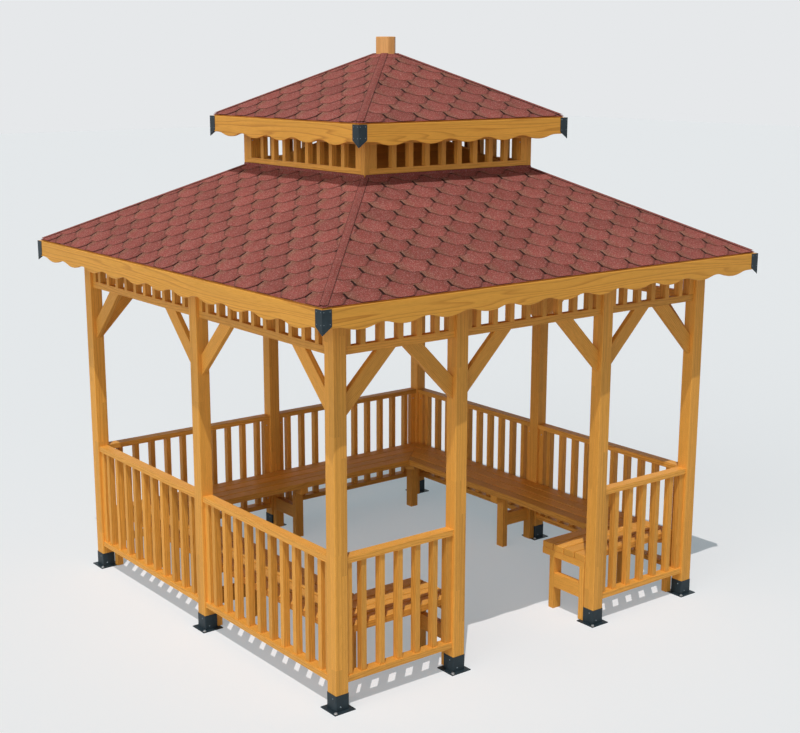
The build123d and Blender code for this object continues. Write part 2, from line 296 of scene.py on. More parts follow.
@dataclass(frozen=True)
class StainedSpruce(Finish):
    """Planed spruce under a translucent honey stain.

    The stain leaves the growth rings showing as fine darker lines; glued members show lamellas of slightly
    different tone, and end faces show the rings themselves.
    """

    name: str = "stained_spruce"
    slot: str = "stained_timber"
    early: str = "eead4c"                 # soft springwood, most of the surface
    late: str = "b8701f"                  # narrow summerwood lines
    deep: str = "8c4c12"                  # darkest streaks and pores
    ring_mm: float = 9.0                  # spacing of the summerwood lines on a board's face
    ring_lean: float = 0.45               # how far the rings lean through the board
    ring_tone: tuple[Point, ...] = ((0.0, 0.0), (0.62, 0.12), (0.9, 1.0), (1.0, 0.0))    # over one ring
    figure: float = 1.0                   # how far the lines wander
    sway: float = 7.0                     # lines that they wander over, where the figure is 1
    sway_across: float = 7.0              # turns of that wander a metre across the board
    reach: float = 0.9                    # and along it
    line_strength: float = 0.55
    line_gain: float = 1.7                # makes up for the patches, which thin the lines
    fibre: float = 0.36                   # strength of the fine dark fibres
    fibre_span: Point = (0.42, 0.72)      # noise levels where a fibre starts and is full
    fibre_relief: float = 0.5             # beside the lines' own relief
    fibre_scale: Triple = (14.0, 420.0, 420.0)     # a few centimetres long and about 1.5 mm wide
    patch_scale: Triple = (1.6, 26.0, 26.0)        # patches of tone about 40 mm wide along the board
    patch_tone: Point = (0.93, 1.05)
    lamella_mm: float = 0.0               # width of glued lamellas, 0 for solid boards
    finger_mm: float = 700.0              # length of a lamella between two finger joints
    jump: float = 3.0                     # how far apart in the grain two lamellas may be cut
    tone_spread: float = 0.13             # difference from board to board
    roughness: Point = (0.45, 0.62)
    bump: Point = (0.25, 0.0006)          # strength, and depth in metres

    def build(self, add: Adder) -> Node:
        """Rings from wave bands in board coordinates, fibre from stretched noise, tone by board and lamella.

        Args:
            add: adds a node to the material.

        Returns:
            The shader.
        """
        coords = add("ShaderNodeAttribute", attribute_name="grain").outputs["Vector"]
        shade = add("ShaderNodeAttribute", attribute_name="tone").outputs["Fac"]
        if self.lamella_mm:
            coords, shade = self.lamellas(add, coords, shade)

        def streaks(scale: Triple, detail: float, roughness: float) -> Node:
            """Noise drawn out along the board.

            Args:
                scale: its cells a metre, along and across.
                detail: its octaves.
                roughness: share of the finer octaves.

            Returns:
                The noise.
            """
            drawn = add("ShaderNodeMapping", {"Vector": coords, "Scale": scale})
            return add("ShaderNodeTexNoise",
                       {"Vector": drawn, "Scale": 1.0, "Detail": detail, "Roughness": roughness})

        wander = streaks((self.reach, self.sway_across, self.sway_across), 2.0, 0.5)
        fibre = streaks(self.fibre_scale, 3.0, 0.6)
        patch = streaks(self.patch_scale, 3.0, 0.55)
        # rings: bands through the board, bent by the wander
        parts = add("ShaderNodeSeparateXYZ", [coords]).outputs
        across = add("ShaderNodeMath", [parts["Z"], self.ring_lean, parts["Y"]], operation="MULTIPLY_ADD")
        rings = add("ShaderNodeMath", [across, 1000.0 / self.ring_mm], operation="MULTIPLY")
        bent = add("ShaderNodeMath", [wander, self.sway * self.figure, rings], operation="MULTIPLY_ADD")
        saw = add("ShaderNodeMath", [bent], operation="FRACT")
        line = add("ShaderNodeValToRGB", [saw], ramp=self.ring_tone)
        strength = add("ShaderNodeMath", [line, patch], operation="MULTIPLY")
        strength = add("ShaderNodeMath", [strength, self.line_gain * self.line_strength],
                       operation="MULTIPLY")
        body = add("ShaderNodeMix", [strength, srgb(self.early), srgb(self.late)], data_type="RGBA",
                   clamp_factor=True)
        streak = add("ShaderNodeMapRange", [fibre, *self.fibre_span, 0.0, self.fibre])
        fibred = add("ShaderNodeMix", [streak, body, srgb(self.deep)], data_type="RGBA")
        # boards, lamellas and patches differ a little in tone
        value = add("ShaderNodeMapRange", [shade, 0.0, 1.0, 1.0 - self.tone_spread, 1.0 + self.tone_spread])
        dapple = add("ShaderNodeMapRange", [patch, *NOISE, *self.patch_tone])
        both = add("ShaderNodeMath", [value, dapple], operation="MULTIPLY")
        colour = add("ShaderNodeHueSaturation", {"Value": both, "Color": fibred})
        rough = add("ShaderNodeMapRange", [fibre, *NOISE, *self.roughness])
        relief = add("ShaderNodeMath", [fibre, self.fibre_relief, strength], operation="MULTIPLY_ADD")
        bump = add("ShaderNodeBump", {"Strength": self.bump[0], "Distance": self.bump[1], "Height": relief})
        return add("ShaderNodeBsdfPrincipled",
                   {"IOR": 1.48, "Specular IOR Level": 0.35, "Base Color": colour, "Roughness": rough,
                    "Normal": bump})

    def lamellas(self, add: Adder, coords: NodeSocket, shade: NodeSocket) -> tuple[Node, NodeSocket]:
        """Cuts the board coordinates into glued lamellas with finger joints at staggered places.

        Args:
            add: adds a node to the material.
            coords: board coordinates, x along the grain.
            shade: the board's own tone.

        Returns:
            Coordinates that jump from lamella to lamella, and the tone of each lamella.
        """
        parts = add("ShaderNodeSeparateXYZ", [coords]).outputs
        rows = []
        for axis in "YZ":
            cell = add("ShaderNodeMath", [parts[axis], self.lamella_mm / 1000], operation="DIVIDE")
            rows.append(add("ShaderNodeMath", [cell], operation="FLOOR"))
        seat = add("ShaderNodeCombineXYZ", [*rows, shade])
        shift = add("ShaderNodeTexWhiteNoise", [seat], noise_dimensions="3D")
        start = add("ShaderNodeMath", [parts["X"], 1000 / self.finger_mm, shift], operation="MULTIPLY_ADD")
        length = add("ShaderNodeMath", [start], operation="FLOOR")
        piece = add("ShaderNodeCombineXYZ", [*rows, length])
        salted = add("ShaderNodeTexWhiteNoise", [piece, shade], noise_dimensions="4D").outputs
        jump = add("ShaderNodeVectorMath", [salted["Color"], self.jump], operation="SCALE")
        moved = add("ShaderNodeVectorMath", [coords, jump], operation="ADD")
        return moved, salted["Value"]


@dataclass(frozen=True)
class HexShingle(Finish):
    """Oxidised bitumen shingle with rust-red mineral granules.

    The granules are blended across each tab, olive at one flank and wine red at the other; the felt's cut
    edges show dark bitumen, and so does its head where the slots between tabs lay it bare, which also stands
    as painted shade in the slots. Thin painted shadow lines run along each tab's slanted lower corners.
    """

    name: str = "granulated_shingle"
    slot: str = "shingles"
    centre: str = "8e4b42"
    fleck: str = "a04e4b"                 # brighter, pinker granules
    fleck_span: Triple = (0.47, 0.66, 0.9)         # noise levels where they start and are most; their share
    olive: str = "7b5e47"                 # one flank of a tab
    olive_span: Point = (-0.3, -1.0)      # from where it starts to the tab's edge, as parts of its half width
    wine: str = "70372e"                  # the other flank
    wine_span: Point = (0.4, 1.0)
    flank_strength: float = 1.3
    pale: str = "c9a79d"                  # light mineral granules strewn among the others
    pale_span: Triple = (0.7, 1.0, 0.45)  # three granules in ten, the palest of them by this share
    bitumen: str = "2c1410"
    granule_tone: Point = (0.85, 1.15)    # difference from granule to granule, tab to tab and cloud to cloud
    tab_tone: Point = (0.9, 1.1)
    patch_tone: Point = (0.93, 1.07)
    fall: tuple[float, ...] = (0.0, 0.62, 1.06, 0.9)    # a tab is lightest at its lower edge
    granule_mm: float = 4.0               # real granules are 1-2 mm; drawn coarser so that they show
    cluster_mm: float = 12.0              # patches of one granule colour
    patch_scale: float = 9.0              # soft clouds over the slope, about 110 mm wide
    head: Point = (0.66, 0.71)            # where dark bare felt begins, as a part of a tab's height; painted shade for the slots
    corner_way: Point = (0.0768, -0.163)  # turns a tab's own coordinates into metres over its slanted corner
    corner: Point = (0.024, 0.036)        # where the painted shadow along a slanted corner starts and is full, in those metres
    corner_shade: Point = (0.45, 0.5)      # how dark the painted shadow lines along the two slanted corners are
    bump: Point = (0.5, 0.0012)

    def build(self, add: Adder) -> Node:
        """Tints each tab by its own coordinates, then speckles it by granules and their clusters.

        Args:
            add: adds a node to the material.

        Returns:
            The shader.
        """
        place = add("ShaderNodeTexCoord").outputs["Object"]
        spot = add("ShaderNodeAttribute", attribute_name="spot").outputs["Vector"]
        cut = add("ShaderNodeAttribute", attribute_name="cut").outputs["Fac"]
        tone = add("ShaderNodeAttribute", attribute_name="tone").outputs["Fac"]
        on_tab = add("ShaderNodeSeparateXYZ", [spot]).outputs
        grit = add("ShaderNodeTexVoronoi", {"Vector": place, "Scale": 1000.0 / self.granule_mm})
        cluster = add("ShaderNodeTexNoise",
                      {"Vector": place, "Scale": 1000.0 / self.cluster_mm, "Detail": 4.0, "Roughness": 0.75})
        patch = add("ShaderNodeTexNoise",
                    {"Vector": place, "Scale": self.patch_scale, "Detail": 2.0, "Roughness": 0.5})
        speck = add("ShaderNodeSeparateColor", [grit.outputs["Color"]]).outputs
        # colour: pink flecks, then the two flanks, then pale granules
        colour = srgb(self.centre)
        pink = add("ShaderNodeMapRange", [cluster, *self.fleck_span[:2], 0.0, self.fleck_span[2]])
        layers = [(pink, self.fleck)]
        for shade, span in ((self.olive, self.olive_span), (self.wine, self.wine_span)):
            reach = add("ShaderNodeMapRange", [on_tab["X"], *span, 0.0, self.flank_strength])
            broken = add("ShaderNodeMath", [reach, cluster], operation="MULTIPLY", use_clamp=True)
            layers.append((broken, shade))
        light = add("ShaderNodeMapRange", [speck["Green"], *self.pale_span[:2], 0.0, self.pale_span[2]])
        for share, shade in (*layers, (light, self.pale)):
            colour = add("ShaderNodeMix", [share, colour, srgb(shade)], data_type="RGBA")
        # value: by granule, by tab, by cloud and down the tab
        level = None
        for source, *span in ((speck["Red"], 0.0, 1.0, *self.granule_tone), (tone, 0.0, 1.0, *self.tab_tone),
                              (patch, *NOISE, *self.patch_tone), (on_tab["Y"], *self.fall)):
            value = add("ShaderNodeMapRange", [source, *span])
            level = value if level is None else add("ShaderNodeMath", [level, value], operation="MULTIPLY")
        colour = add("ShaderNodeHueSaturation", {"Value": level, "Color": colour})
        # bitumen: at cut edges, at the head as painted shade in the slots, and as painted shadow lines along
        # the slanted corners
        # the dark head stands as painted shade in the slots between tabs
        head = add("ShaderNodeMapRange", [on_tab["Y"], *self.head, 0.0, 1.0])
        bare = [add("ShaderNodeMath", [cut, head], operation="MAXIMUM")]
        # painted shadow lines along both slanted lower corners of each tab
        for way, most in zip((-1, 1), self.corner_shade):
            over = (way * self.corner_way[0], self.corner_way[1], 0.0)
            off = add("ShaderNodeVectorMath", [spot, over], operation="DOT_PRODUCT")
            bare.append(add("ShaderNodeMapRange", [off, *self.corner, 0.0, most]))
        for share in bare:
            colour = add("ShaderNodeMix", [share, colour, srgb(self.bitumen)], data_type="RGBA")
        bump = add("ShaderNodeBump", {"Strength": self.bump[0], "Distance": self.bump[1], "Height": grit})
        return add("ShaderNodeBsdfPrincipled",
                   {"Roughness": 0.92, "IOR": 1.5, "Specular IOR Level": 0.25, "Base Color": colour,
                    "Normal": bump})


@dataclass(frozen=True)
class CoatedSteel(Finish):
    """Mild steel sheet under an anthracite powder coat: satin, with the faint orange peel of the coat."""

    name: str = "powder_coated_steel"
    colour: str = "243138"
    dust: str = "37454d"
    peel_mm: float = 3.0
    dust_scale: float = 18.0              # patches of dust about 55 mm wide
    dust_span: Triple = (0.45, 0.75, 0.6) # noise levels where it starts and is most; its share
    roughness: Point = (0.42, 0.56)
    bump: Point = (0.12, 0.0003)

    def build(self, add: Adder) -> Node:
        """Satin dielectric coat with a slight peel and a little pale dust.

        Args:
            add: adds a node to the material.

        Returns:
            The shader.
        """
        place = add("ShaderNodeTexCoord").outputs["Object"]
        peel = add("ShaderNodeTexNoise", {"Vector": place, "Scale": 1000 / self.peel_mm, "Detail": 1.0})
        cloud = add("ShaderNodeTexNoise",
                    {"Vector": place, "Scale": self.dust_scale, "Detail": 4.0, "Roughness": 0.65})
        dusty = add("ShaderNodeMapRange", [cloud, *self.dust_span[:2], 0.0, self.dust_span[2]])
        colour = add("ShaderNodeMix", [dusty, srgb(self.colour), srgb(self.dust)], data_type="RGBA")
        rough = add("ShaderNodeMapRange", [cloud, *NOISE, *self.roughness])
        bump = add("ShaderNodeBump", {"Strength": self.bump[0], "Distance": self.bump[1], "Height": peel})
        return add("ShaderNodeBsdfPrincipled",
                   {"IOR": 1.5, "Specular IOR Level": 0.25, "Base Color": colour, "Roughness": rough,
                    "Normal": bump})


@dataclass(frozen=True)
class ZincPlated(Finish):
    """Zinc-plated screw head: grey metal with a soft spangle."""

    name: str = "zinc_plated_screw"
    slot: str = "dark_steel"
    colour: str = "c9ccce"
    spangle_mm: float = 2.5
    roughness: Point = (0.3, 0.5)

    def build(self, add: Adder) -> Node:
        """Bright metal, roughened by a fine noise.

        Args:
            add: adds a node to the material.

        Returns:
            The shader.
        """
        place = add("ShaderNodeTexCoord").outputs["Object"]
        noise = add("ShaderNodeTexNoise", {"Vector": place, "Scale": 1000 / self.spangle_mm, "Detail": 2.0})
        rough = add("ShaderNodeMapRange", [noise, *NOISE, *self.roughness])
        return add("ShaderNodeBsdfPrincipled",
                   {"Base Color": srgb(self.colour), "Metallic": 1.0, "Roughness": rough})


@dataclass(frozen=True)
class MattFloor(Finish):
    """Pale matt floor: keeps the gazebo's shadow, and shows paler to the eye than it is to the gazebo."""

    name: str = "matt_floor"
    lit: Triple = (0.670, 0.640, 0.635)   # how it takes light and shadow
    glow: Triple = (0.240, 0.298, 0.328)  # its own paleness, as it is seen
    felt: Triple = (0.55, 0.55, 0.55)     # what it throws back on the gazebo

    def build(self, add: Adder) -> Node:
        """One look for what is seen, another for what only lights the gazebo.

        Args:
            add: adds a node to the material.

        Returns:
            The shader.
        """
        lit = add("ShaderNodeBsdfDiffuse", {"Color": (*self.lit, 1)})
        glow = add("ShaderNodeEmission", {"Color": (*self.glow, 1), "Strength": 1.0})
        shown = add("ShaderNodeAddShader", [lit, glow])
        felt = add("ShaderNodeBsdfDiffuse", {"Color": (*self.felt, 1)})
        return add("ShaderNodeMixShader", [seen(add), felt, shown])


def seen(add: Adder) -> Node:
    """Tells what is seen from what only lights the gazebo.

    Args:
        add: adds a node to a material or the world.

    Returns:
        A node that is 1 for what is seen directly, in metal or through glass, and otherwise 0.
    """
    rays = add("ShaderNodeLightPath").outputs
    near = add("ShaderNodeMath", [rays["Is Camera Ray"], rays["Is Glossy Ray"]], operation="MAXIMUM")
    return add("ShaderNodeMath", [near, rays["Is Transmission Ray"]], operation="MAXIMUM")


# Glued posts and beams: close, straight grain in 46 mm lamellas.
GLULAM = StainedSpruce(name="glued_spruce_posts", lamella_mm=46.0, ring_mm=11.0, tone_spread=0.1, figure=0.5,
                       line_strength=0.5, reach=0.5, fibre=0.28)
# Planed rails, bars, braces, rafters and slats: fine lines, each board its own tone.
PLANED = StainedSpruce(line_strength=0.6)
# Flat-sawn fascia boards: broad flames of darker grain.
FASCIA = StainedSpruce(name="figured_spruce_boards", early="ebaa45", late="af6b1e", ring_mm=26.0, figure=1.7,
                       line_strength=0.6, tone_spread=0.05, reach=0.42, fibre=0.22)
# The hub: paler and duller than the boards.
HUB_WOOD = StainedSpruce(name="turned_spruce_hub", early="edb06c", late="c98a46", deep="a8713c",
                         tone_spread=0.02)
# Tongued roof boards: wide, lively figure, seen from inside.
DECKING = StainedSpruce(name="roof_boards", ring_mm=12.0, figure=1.6, tone_spread=0.1)
SHINGLE, STEEL, ZINC = HexShingle(), CoatedSteel(), ZincPlated()
# Screws outside, whose zinc has gone dull and grey.
DULL_ZINC = ZincPlated(name="weathered_zinc_screw", colour="727d84")


# ---------------------------------------------------------------- timber
@dataclass
class Timber:
    """Gathers planed boards into one mesh that carries each board's grain coordinates and tone."""

    name: str
    finish: StainedSpruce
    seed: int
    ease: float = 0.002                   # bevel on planed arrises
    sharp: float = 28.0                   # least angle in degrees between two faces that is bevelled
    apart: Triple = (20.0, 3.0, 3.0)      # how far apart in the grain two boards may be cut
    vertices: list[Vector] = field(default_factory=list)
    faces: list[list[int]] = field(default_factory=list)
    grain: list[Vector] = field(default_factory=list)
    tone: list[float] = field(default_factory=list)

    def __post_init__(self) -> None:
        """Starts the piece's own random sequence."""
        self.rng = random.Random(self.seed)

    def take(self, board: BMesh, place: Matrix, to_grain: Matrix) -> None:
        """Bevels one closed board and adds it.

        Args:
            board: the board in its own coordinates; it is freed.
            place: carries it to the gazebo.
            to_grain: carries its own coordinates to grain coordinates, x along the fibres.
        """
        least = math.radians(self.sharp)
        sharp = [e for e in board.edges if e.is_manifold and e.calc_face_angle(0.0) > least]
        bmesh.ops.bevel(board, geom=sharp, offset=self.ease, segments=1, profile=0.5, affect="EDGES",
                        clamp_overlap=True)
        bmesh.ops.recalc_face_normals(board, faces=board.faces)
        salt = Vector([self.rng.uniform(0, far) for far in self.apart])
        if self.finish.lamella_mm:
            salt.y = salt.z = 0.0
        shade, first = self.rng.random(), len(self.vertices)
        for vertex in board.verts:
            self.vertices.append(place @ vertex.co)
            self.grain.append(to_grain @ vertex.co + salt)
            self.tone.append(shade)
        board.verts.index_update()
        self.faces += [[first + v.index for v in face.verts] for face in board.faces]
        board.free()

    def prism(self, outline: Sequence[Point], thickness: float, place: Matrix, lean: float = 0.0) -> None:
        """Adds a board drawn as an outline in its own XY plane, thick along +Z.

        Args:
            outline: corner points, either way round.
            thickness: along the board's own Z.
            place: carries it to the gazebo.
            lean: angle of the fibres from the board's own X, in degrees.
        """
        area = sum(a[0] * b[1] - b[0] * a[1] for a, b in zip(outline, [*outline[1:], outline[0]]))
        points = list(outline) if area > 0 else list(outline)[::-1]
        board = bmesh.new()
        low, high = ([board.verts.new((x, y, z)) for x, y in points] for z in (0.0, thickness))
        board.faces.new(low[::-1])
        board.faces.new(high)
        wrap(board, low, high)
        self.take(board, place, Matrix.Rotation(math.radians(-lean), 4, "Z"))

    def board(self, low: Sequence[float], high: Sequence[float], along: str, place: Matrix) -> None:
        """Adds a straight board.

        Args:
            low: its lowest corner.
            high: its highest corner.
            along: the axis of its fibres, X, Y or Z.
            place: carries it to the gazebo.
        """
        i = "XYZ".index(along)
        j, k = (i + 1) % 3, (i + 2) % 3
        size, axes = Vector(high) - Vector(low), Matrix.Identity(3)
        outline = [(0, 0), (size[i], 0), (size[i], size[j]), (0, size[j])]
        self.prism(outline, size[k], place @ frame_of(axes[i], axes[j], low))

    def adopt(self, node: str) -> None:
        """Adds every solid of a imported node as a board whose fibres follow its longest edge.

        Args:
            node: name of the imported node.
        """
        mesh = bmesh.new()
        mesh.from_mesh(bpy.data.objects[node].data)
        bmesh.ops.remove_doubles(mesh, verts=mesh.verts, dist=MERGE)
        bmesh.ops.dissolve_limit(mesh, angle_limit=math.radians(FLAT), verts=mesh.verts, edges=mesh.edges)
        for island in islands(mesh):
            board = bmesh.new()
            copies = {v: board.verts.new(v.co) for v in island}
            for face in dict.fromkeys(f for v in island for f in v.link_faces):
                board.faces.new([copies[v] for v in face.verts])
            board.normal_update()
            edge = max(board.edges, key=lambda e: e.calc_length())
            x = (edge.verts[1].co - edge.verts[0].co).normalized()
            flank = max((f for f in board.faces if abs(f.normal.dot(x)) < 0.5), key=lambda f: f.calc_area())
            z = (flank.normal - x * flank.normal.dot(x)).normalized()
            rows = [(*axis, -min(v.co.dot(axis) for v in board.verts)) for axis in (x, z.cross(x), z)]
            self.take(board, Matrix.Identity(4), Matrix([*rows, (0, 0, 0, 1)]))
        mesh.free()

    def finish_piece(self, node: str) -> None:
        """Turns the gathered boards into a piece.

        Args:
            node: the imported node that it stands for.
        """
        mesh = bpy.data.meshes.new(self.name)
        mesh.from_pydata([tuple(v) for v in self.vertices], [], self.faces)
        grain = mesh.attributes.new("grain", "FLOAT_VECTOR", "POINT")
        grain.data.foreach_set("vector", [c for v in self.grain for c in v])
        tone = mesh.attributes.new("tone", "FLOAT", "POINT")
        tone.data.foreach_set("value", self.tone)
        place_piece(self.name, mesh, self.finish, node)


def wrap(mesh: BMesh, low: Sequence[BMVert], high: Sequence[BMVert]) -> None:
    """Joins two closed rings of corners by a wall.

    Args:
        mesh: where the faces go.
        low: one ring.
        high: the other, corner for corner.
    """
    for i in range(len(low)):
        j = (i + 1) % len(low)
        mesh.faces.new((low[i], low[j], high[j], high[i]))


def islands(mesh: BMesh) -> list[list[BMVert]]:
    """Sorts a mesh into its separate solids.

    Args:
        mesh: the mesh.

    Returns:
        Groups of corners that are joined by edges.
    """
    left, groups = set(mesh.verts), []
    for start in mesh.verts:                  # in the mesh's own order, so that every run gives the same
        if start not in left:
            continue
        left.remove(start)
        group, queue = [], [start]
        while queue:
            vertex = queue.pop()
            group.append(vertex)
            for edge in vertex.link_edges:
                other = edge.other_vert(vertex)
                if other in left:
                    left.remove(other)
                    queue.append(other)
        groups.append(group)
    return groups


def place_piece(name: str, mesh: Mesh, finish: Finish, *nodes: str) -> None:
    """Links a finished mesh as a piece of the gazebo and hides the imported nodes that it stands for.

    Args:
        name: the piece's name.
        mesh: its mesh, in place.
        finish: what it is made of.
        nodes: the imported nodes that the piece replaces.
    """
    mesh.materials.clear()
    mesh.materials.append(finish.material())
    piece = bpy.data.objects.new(name, mesh)
    bpy.context.scene.collection.objects.link(piece)
    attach(piece, "root")
    if nodes:
        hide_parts(*nodes)
    log.info("%s: %d faces", name, len(mesh.polygons))


# ---------------------------------------------------------------- sub-assemblies of timber
@dataclass(frozen=True)
class Panel:
    """One kind of barred panel: two rails, two end stiles and square bars at one pitch."""

    rail: float                           # height of a rail
    rail_depth: float
    stile: float = 0.045                  # width of an end stile
    depth: float = 0.045                  # of bars and stiles
    end_gap: float = 0.020                # least gap beside an end stile
    bar: float = 0.036
    pitch: float = 0.134

    def build(self, timber: Timber, bay: Point, y: float, z: Point, place: Matrix) -> None:
        """Draws one panel at the front and carries it to its side.

        Args:
            timber: where the boards go.
            bay: clear opening in X.
            y: the panel's middle plane.
            z: lowest and highest level.
            place: turn to the side.
        """
        (x0, x1), (z0, z1) = bay, z
        for low in (z0, z1 - self.rail):
            timber.board((x0, y - self.rail_depth / 2, low), (x1, y + self.rail_depth / 2, low + self.rail),
                         "X", place)
        room = x1 - x0 - 2 * self.stile - 2 * self.end_gap - self.bar
        gaps = int(room // self.pitch)
        first = (x0 + x1 - gaps * self.pitch - self.bar) / 2
        spots = [(x0, self.stile), (x1 - self.stile, self.stile)]
        spots += [(first + i * self.pitch, self.bar) for i in range(gaps + 1)]
        for x, width in spots:
            timber.board((x, y - self.depth / 2, z0 + self.rail),
                         (x + width, y + self.depth / 2, z1 - self.rail), "Z", place)


@dataclass
class Panels:
    """Railings and friezes in every bay."""

    plan: Plan
    railing: Panel = Panel(rail=0.037, rail_depth=0.070)
    frieze: Panel = Panel(rail=0.046, rail_depth=0.045)
    small: Panel = Panel(rail=0.034, rail_depth=0.036, stile=0.054, depth=0.036, end_gap=0.060)
    lantern_foot: float = 0.040           # width of a lantern post beside the small panels' rails

    def railings(self) -> None:
        """The eight railings, each a piece of its own."""
        names = {Side.FRONT: ("front_left", None, "front_right"), Side.LEFT: ("left_back", "left_front"),
                 Side.RIGHT: ("right_front", "right_back"), Side.BACK: ("back_right", "back_left")}
        for side, bay_names in names.items():
            for bay, name in zip(self.plan.bays(side), bay_names):
                if name is None:
                    continue
                low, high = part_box("railing_" + name)
                timber = Timber("railing_" + name + "_boards", PLANED, seed=sum(map(ord, name)))
                self.railing.build(timber, bay, -self.plan.middle, (low.z, high.z), side.matrix)
                timber.finish_piece("railing_" + name)

    def friezes(self) -> None:
        """The friezes under the ring beams, one piece a side."""
        for side in Side:
            name = "friezes_" + side.name.lower()
            low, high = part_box(name)
            timber = Timber(name + "_boards", PLANED, seed=side.value + 700)
            for bay in self.plan.bays(side):
                self.frieze.build(timber, bay, -self.plan.middle, (low.z, high.z), side.matrix)
            timber.finish_piece(name)

    def lantern(self) -> None:
        """The four small friezes of the lantern, as one piece."""
        low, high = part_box("lantern_friezes")
        inner = self.plan.lantern - self.lantern_foot
        timber = Timber("lantern_frieze_boards", PLANED, seed=31, ease=0.0015)
        for side in Side:
            self.small.build(timber, (-inner, inner), -self.plan.lantern + self.small.depth / 2,
                             (low.z, high.z), side.matrix)
        timber.finish_piece("lantern_friezes")


@dataclass
class Benches:
    """The slatted seats and the frames that carry them."""

    plan: Plan
    slats: int = 4
    slat: float = 0.094
    gap: float = 0.008
    thickness: float = 0.045
    behind: float = 0.0015                # of the frames beyond the outer slat
    bearer: float = 0.045
    leg_along: float = 0.070
    leg_across: float = 0.045
    leg_setback: float = 0.072
    rail_low: float = 0.160
    rail_height: float = 0.100
    corner_leg: float = 0.066
    corner_setback: float = 0.130
    corner_bearer: float = 0.070
    plate: float = 0.006                  # of the shoes, which the outer legs stand on

    def seats(self) -> None:
        """The slats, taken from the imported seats."""
        for name in ("front_left", "front_right", "left", "right", "back"):
            timber = Timber("bench_slats_" + name, PLANED, seed=sum(map(ord, name)) + 9, ease=0.003)
            timber.adopt("bench_seat_" + name)
            timber.finish_piece("bench_seat_" + name)

    def frames(self) -> None:
        """Leg frames across the benches and the mitred frames in the four corners."""
        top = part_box("bench_seat_back")[1].z - self.thickness
        low = top - self.bearer
        outer = -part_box("bench_leg_frames")[0].x
        inner = outer - self.behind - self.slats * self.slat - (self.slats - 1) * self.gap
        front = inner + self.leg_setback
        timber = Timber("bench_leg_timber", PLANED, seed=77)
        start = self.plan.entrance_outer - self.plan.post + self.leg_along / 2
        spots = [(start, -1, Side.FRONT), (-start, 1, Side.FRONT)]
        spots += [(0.0, 1, side) for side in (Side.LEFT, Side.RIGHT, Side.BACK)]
        for x, way, side in spots:
            x0, x1 = x - self.leg_along / 2, x + self.leg_along / 2
            rail = sorted((x + way * self.leg_along / 2, x + way * (self.leg_along / 2 - self.leg_across)))
            for corner, far, along in (
                    ((x0, -outer, low), (x1, -inner, top), "Y"),
                    ((x0, -front - self.leg_across, 0), (x1, -front, low), "Z"),
                    ((x0, -outer, self.plate), (x1, -outer + self.leg_across, low), "Z"),
                    ((rail[0], -outer + self.leg_across, self.rail_low),
                     (rail[1], -front - self.leg_across, self.rail_low + self.rail_height), "Y")):
                timber.board(corner, far, along, side.matrix)
        timber.finish_piece("bench_leg_frames")
        timber = Timber("bench_corner_timber", PLANED, seed=78)
        reach = self.corner_bearer / 2 * math.sqrt(2)
        near, far = inner + self.corner_setback, outer - self.leg_across
        for quarter in range(4):
            place = turn(90 * quarter)
            outline = [(inner, -inner - reach), (inner + reach, -inner), (outer, -outer + reach),
                       (outer, -outer), (outer - reach, -outer)]
            timber.prism(outline, self.bearer, place @ Matrix.Translation((0, 0, low)), lean=-45)
            timber.board((near, -near - self.corner_leg, 0), (near + self.corner_leg, -near, low), "Z", place)
            timber.board((far, -outer, self.plate), (outer, -far, low), "Z", place)
        timber.finish_piece("bench_corner_frames")


@dataclass
class RoofTimbers:
    """Posts, braces, beams, rafters, lantern members, fascias and the hub."""

    ease: float = 0.0025
    curb: float = 0.045                   # thickness of the lantern's two square frames

    def members(self) -> None:
        """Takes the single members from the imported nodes."""
        adopted = {"posts_corner": ("corner_posts", GLULAM), "posts_side": ("side_posts", GLULAM),
                   "posts_entrance": ("entrance_posts", GLULAM), "beams_sides": ("ring_beams_sides", GLULAM),
                   "beams_front_back": ("ring_beams_front_back", GLULAM),
                   "rafters_hip": ("hip_rafters", PLANED), "rafters_common": ("common_rafters", PLANED),
                   "posts_lantern": ("lantern_posts", PLANED), "hub_octagonal": ("roof_hub", HUB_WOOD),
                   "fascia_front_back": ("fascias_front_back", FASCIA),
                   "fascia_sides": ("fascias_sides", FASCIA)}
        adopted |= {"braces_pair_" + s.name.lower(): ("braces_" + s.name.lower(), PLANED) for s in Side}
        for number, (name, (node, finish)) in enumerate(adopted.items()):
            timber = Timber(name, finish, seed=100 + number, ease=self.ease)
            timber.adopt(node)
            timber.finish_piece(node)

    def squares(self) -> None:
        """Builds the two square frames under and over the lantern from four mitred boards each."""
        for node in ("lantern_curb", "lantern_ring"):
            timber = Timber(node + "_boards", PLANED, seed=len(node))
            low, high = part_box(node)
            half, inner = high.x, high.x - self.curb
            for side in Side:
                outline = [(-half, -half), (half, -half), (inner, -inner), (-inner, -inner)]
                timber.prism(outline, high.z - low.z, side.matrix @ Matrix.Translation((0, 0, low.z)))
            timber.finish_piece(node)


# ---------------------------------------------------------------- roofs
@dataclass(frozen=True)
class Slope:
    """One tier's slope as drawn at the front: X along the eave, Y up the slope, Z out of it."""

    eave_r: float                         # distance in plan from the middle to the eave, and to the top
    top_r: float
    eave_z: float
    rise: float

    @property
    def stretch(self) -> float:
        """Length along the slope per unit of plan distance."""
        return math.hypot(1.0, self.rise)

    @property
    def length(self) -> float:
        """From the eave to the top, along the slope."""
        return (self.eave_r - self.top_r) * self.stretch

    @property
    def matrix(self) -> Matrix:
        """Carries slope coordinates to the gazebo's front side."""
        return frame_of((1, 0, 0), (0, 1, self.rise), (0, -self.eave_r, self.eave_z))

    def half_width(self, s: float) -> float:
        """Half the slope's width at a distance up it."""
        return self.eave_r - s / self.stretch


